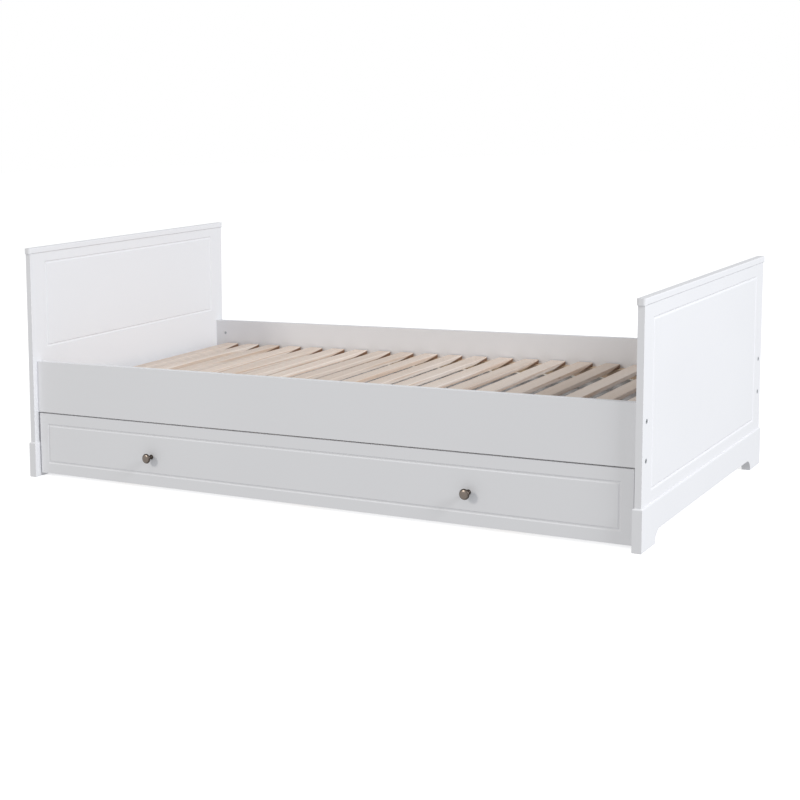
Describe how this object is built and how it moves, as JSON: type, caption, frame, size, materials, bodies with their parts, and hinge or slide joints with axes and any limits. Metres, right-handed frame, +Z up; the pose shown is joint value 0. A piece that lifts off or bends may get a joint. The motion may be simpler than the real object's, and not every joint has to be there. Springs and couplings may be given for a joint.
{
  "type": "trundle bed",
  "caption": "Single bed with panelled headboard and footboard, slatted base, and a wheeled trundle that rolls out from under its front rail.",
  "frame": {"origin": "on the floor, under the middle of the bed's length and width", "axes": "+X from the headboard to the footboard, +Y from the trundle's front to the rear rail, +Z up"},
  "size_m": [2.054, 0.995, 0.733],
  "materials": {
    "white_lacquer": "satin white lacquer on fibreboard",
    "pine": "planed untreated pine",
    "beech": "fluted hardwood dowel",
    "webbing": "woven polyester webbing",
    "pewter": "antique nickel plate, rubbed back",
    "zinc_steel": "bright zinc plate",
    "castor_nylon": "moulded black nylon"
  },
  "bodies": {
    "bed_frame": {"headboard_panel": "white_lacquer", "headboard_cap": "white_lacquer", "headboard_plinth": "white_lacquer", "footboard_panel": "white_lacquer", "footboard_cap": "white_lacquer", "footboard_plinth": "white_lacquer", "front_rail": "white_lacquer", "rear_rail": "white_lacquer", "front_ledge": "pine", "rear_ledge": "pine", "slat_01": "pine", "slat_02": "pine", "slat_03": "pine", "slat_04": "pine", "slat_05": "pine", "slat_06": "pine", "slat_07": "pine", "slat_08": "pine", "slat_09": "pine", "slat_10": "pine", "slat_11": "pine", "slat_12": "pine", "slat_13": "pine", "slat_14": "pine", "slat_15": "pine", "slat_16": "pine", "slat_17": "pine", "slat_18": "pine", "slat_19": "pine", "slat_20": "pine", "slat_21": "pine", "slat_straps": "webbing", "bed_bolts": "zinc_steel", "barrel_nuts": "zinc_steel", "dowels": "beech", "ledge_screws": "zinc_steel"},
    "trundle": {"trundle_front": "white_lacquer", "trundle_inner_front": "white_lacquer", "trundle_back": "white_lacquer", "trundle_side_left": "white_lacquer", "trundle_side_right": "white_lacquer", "trundle_floor_left": "white_lacquer", "trundle_floor_right": "white_lacquer", "trundle_bearer_left": "pine", "trundle_bearer_middle": "pine", "trundle_bearer_right": "pine", "knob_left": "pewter", "knob_right": "pewter", "knob_screws": "zinc_steel", "trundle_screws": "zinc_steel", "castor_screws": "zinc_steel", "castor_fork_front_left": "zinc_steel", "castor_fork_front_right": "zinc_steel", "castor_fork_rear_left": "zinc_steel", "castor_fork_rear_right": "zinc_steel", "castor_axles": "zinc_steel"},
    "wheel_front_left": {"castor_wheel_front_left": "castor_nylon"},
    "wheel_front_right": {"castor_wheel_front_right": "castor_nylon"},
    "wheel_rear_left": {"castor_wheel_rear_left": "castor_nylon"},
    "wheel_rear_right": {"castor_wheel_rear_right": "castor_nylon"}
  },
  "joints": [
    {"name": "trundle_slide", "type": "slide", "parent": "bed_frame", "child": "trundle", "axis": [0, -1, 0], "range_m": [0, 0.88]},
    {"name": "wheel_spin_front_left", "type": "hinge", "parent": "trundle", "child": "wheel_front_left", "pos_m": [-0.64, -0.348, 0.02], "axis": [1, 0, 0], "continuous": true},
    {"name": "wheel_spin_front_right", "type": "hinge", "parent": "trundle", "child": "wheel_front_right", "pos_m": [0.64, -0.348, 0.02], "axis": [1, 0, 0], "continuous": true},
    {"name": "wheel_spin_rear_left", "type": "hinge", "parent": "trundle", "child": "wheel_rear_left", "pos_m": [-0.64, 0.345, 0.02], "axis": [1, 0, 0], "continuous": true},
    {"name": "wheel_spin_rear_right", "type": "hinge", "parent": "trundle", "child": "wheel_rear_right", "pos_m": [0.64, 0.345, 0.02], "axis": [1, 0, 0], "continuous": true}
  ],
  "couplings": [
    {"joint": "wheel_spin_front_left", "follows": "trundle_slide", "rad_per_m": 50},
    {"joint": "wheel_spin_front_right", "follows": "trundle_slide", "rad_per_m": 50},
    {"joint": "wheel_spin_rear_left", "follows": "trundle_slide", "rad_per_m": 50},
    {"joint": "wheel_spin_rear_right", "follows": "trundle_slide", "rad_per_m": 50}
  ]
}
